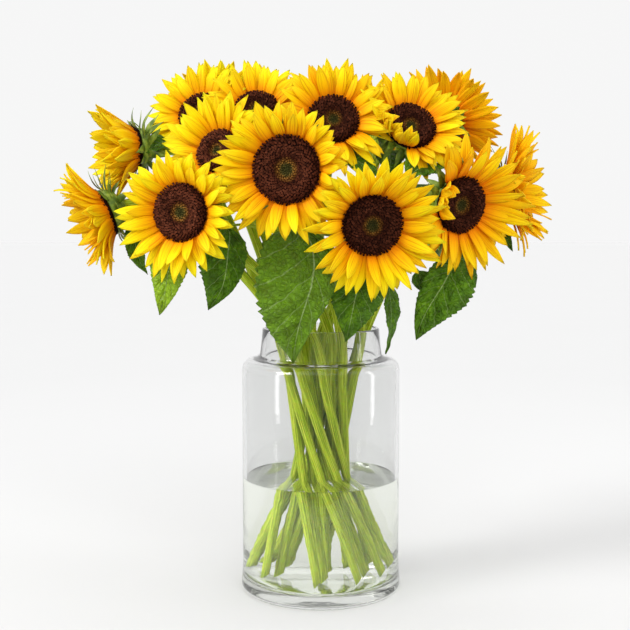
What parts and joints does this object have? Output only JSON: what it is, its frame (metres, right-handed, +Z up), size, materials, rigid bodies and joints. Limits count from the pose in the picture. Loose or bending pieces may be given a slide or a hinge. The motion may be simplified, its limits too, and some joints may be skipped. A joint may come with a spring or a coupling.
{
  "type": "sunflowers in a vase",
  "caption": "Bouquet of cut sunflowers with leafy stems that cross and fan out in the water of a clear glass jar vase with a rounded shoulder and short neck.",
  "frame": {"origin": "middle of the vase's flat underside", "axes": "+Z up along the vase's axis, -Y towards the side that most of the flower heads face, +X to the right when seen from that side"},
  "size_m": [0.4635, 0.317, 0.5178],
  "materials": {
    "clear_glass": "clear, smooth and glossy, thick at the base",
    "water": "clear still water",
    "golden_petals": "soft satin with fine lengthwise lines, golden yellow turning orange at the root",
    "brown_disc": "matt, dark maroon-brown florets with an orange-brown inner ring and an olive-green eye",
    "green_stem_and_leaves": "satin leaves with lighter veins, and finely ribbed, slightly hairy lime-green stems"
  },
  "bodies": {
    "root": {"glass_vase": "clear_glass", "water": "water", "sunflower_01_petals": "golden_petals", "sunflower_01_disc": "brown_disc", "sunflower_01_leafy_stem": "green_stem_and_leaves", "sunflower_02_petals": "golden_petals", "sunflower_02_disc": "brown_disc", "sunflower_02_leafy_stem": "green_stem_and_leaves", "sunflower_03_petals": "golden_petals", "sunflower_03_disc": "brown_disc", "sunflower_03_leafy_stem": "green_stem_and_leaves", "sunflower_04_petals": "golden_petals", "sunflower_04_disc": "brown_disc", "sunflower_04_leafy_stem": "green_stem_and_leaves", "sunflower_05_petals": "golden_petals", "sunflower_05_disc": "brown_disc", "sunflower_05_leafy_stem": "green_stem_and_leaves", "sunflower_06_petals": "golden_petals", "sunflower_06_disc": "brown_disc", "sunflower_06_leafy_stem": "green_stem_and_leaves", "sunflower_07_petals": "golden_petals", "sunflower_07_disc": "brown_disc", "sunflower_07_leafy_stem": "green_stem_and_leaves", "sunflower_08_petals": "golden_petals", "sunflower_08_disc": "brown_disc", "sunflower_08_leafy_stem": "green_stem_and_leaves", "sunflower_09_petals": "golden_petals", "sunflower_09_disc": "brown_disc", "sunflower_09_leafy_stem": "green_stem_and_leaves", "sunflower_10_petals": "golden_petals", "sunflower_10_disc": "brown_disc", "sunflower_10_leafy_stem": "green_stem_and_leaves", "sunflower_11_petals": "golden_petals", "sunflower_11_disc": "brown_disc", "sunflower_11_leafy_stem": "green_stem_and_leaves", "sunflower_12_petals": "golden_petals", "sunflower_12_disc": "brown_disc", "sunflower_12_leafy_stem": "green_stem_and_leaves", "sunflower_13_petals": "golden_petals", "sunflower_13_disc": "brown_disc", "sunflower_13_leafy_stem": "green_stem_and_leaves", "sunflower_14_petals": "golden_petals", "sunflower_14_disc": "brown_disc", "sunflower_14_leafy_stem": "green_stem_and_leaves", "sunflower_15_petals": "golden_petals", "sunflower_15_disc": "brown_disc", "sunflower_15_leafy_stem": "green_stem_and_leaves"}
  },
  "joints": []
}
